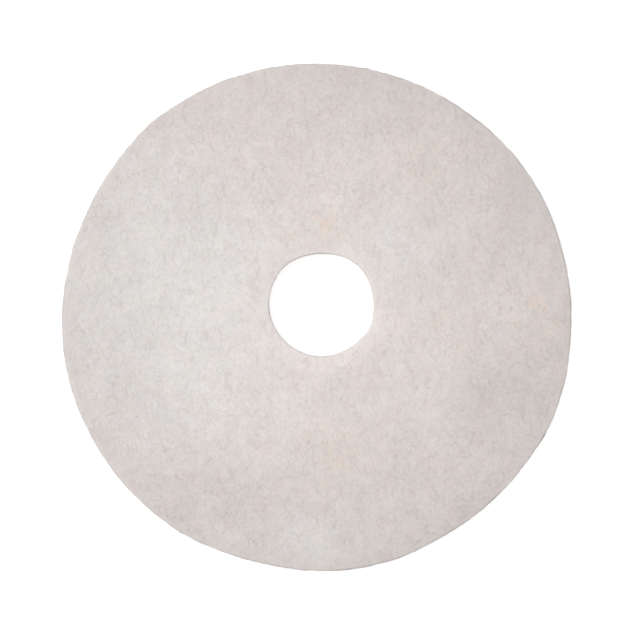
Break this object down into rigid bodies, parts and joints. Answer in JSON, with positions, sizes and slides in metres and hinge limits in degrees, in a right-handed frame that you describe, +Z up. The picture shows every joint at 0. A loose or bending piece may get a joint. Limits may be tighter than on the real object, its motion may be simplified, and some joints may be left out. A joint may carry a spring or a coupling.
{
  "type": "floor polishing pad",
  "caption": "Thick white disc of lofty bonded fibre with a centre hole, held under a floor machine's pad driver to polish hard floors.",
  "frame": {"origin": "middle of the pad's box, on the face that it lies on", "axes": "+Z up through the pad's thickness, from the polishing face to the driver face; +Y is the way the web was laid"},
  "size_m": [0.4068, 0.405, 0.0254],
  "materials": {
    "nonwoven_fibre": "matte, lofty nonwoven fibre"
  },
  "bodies": {
    "root": {"polishing_pad": "nonwoven_fibre"}
  },
  "joints": []
}
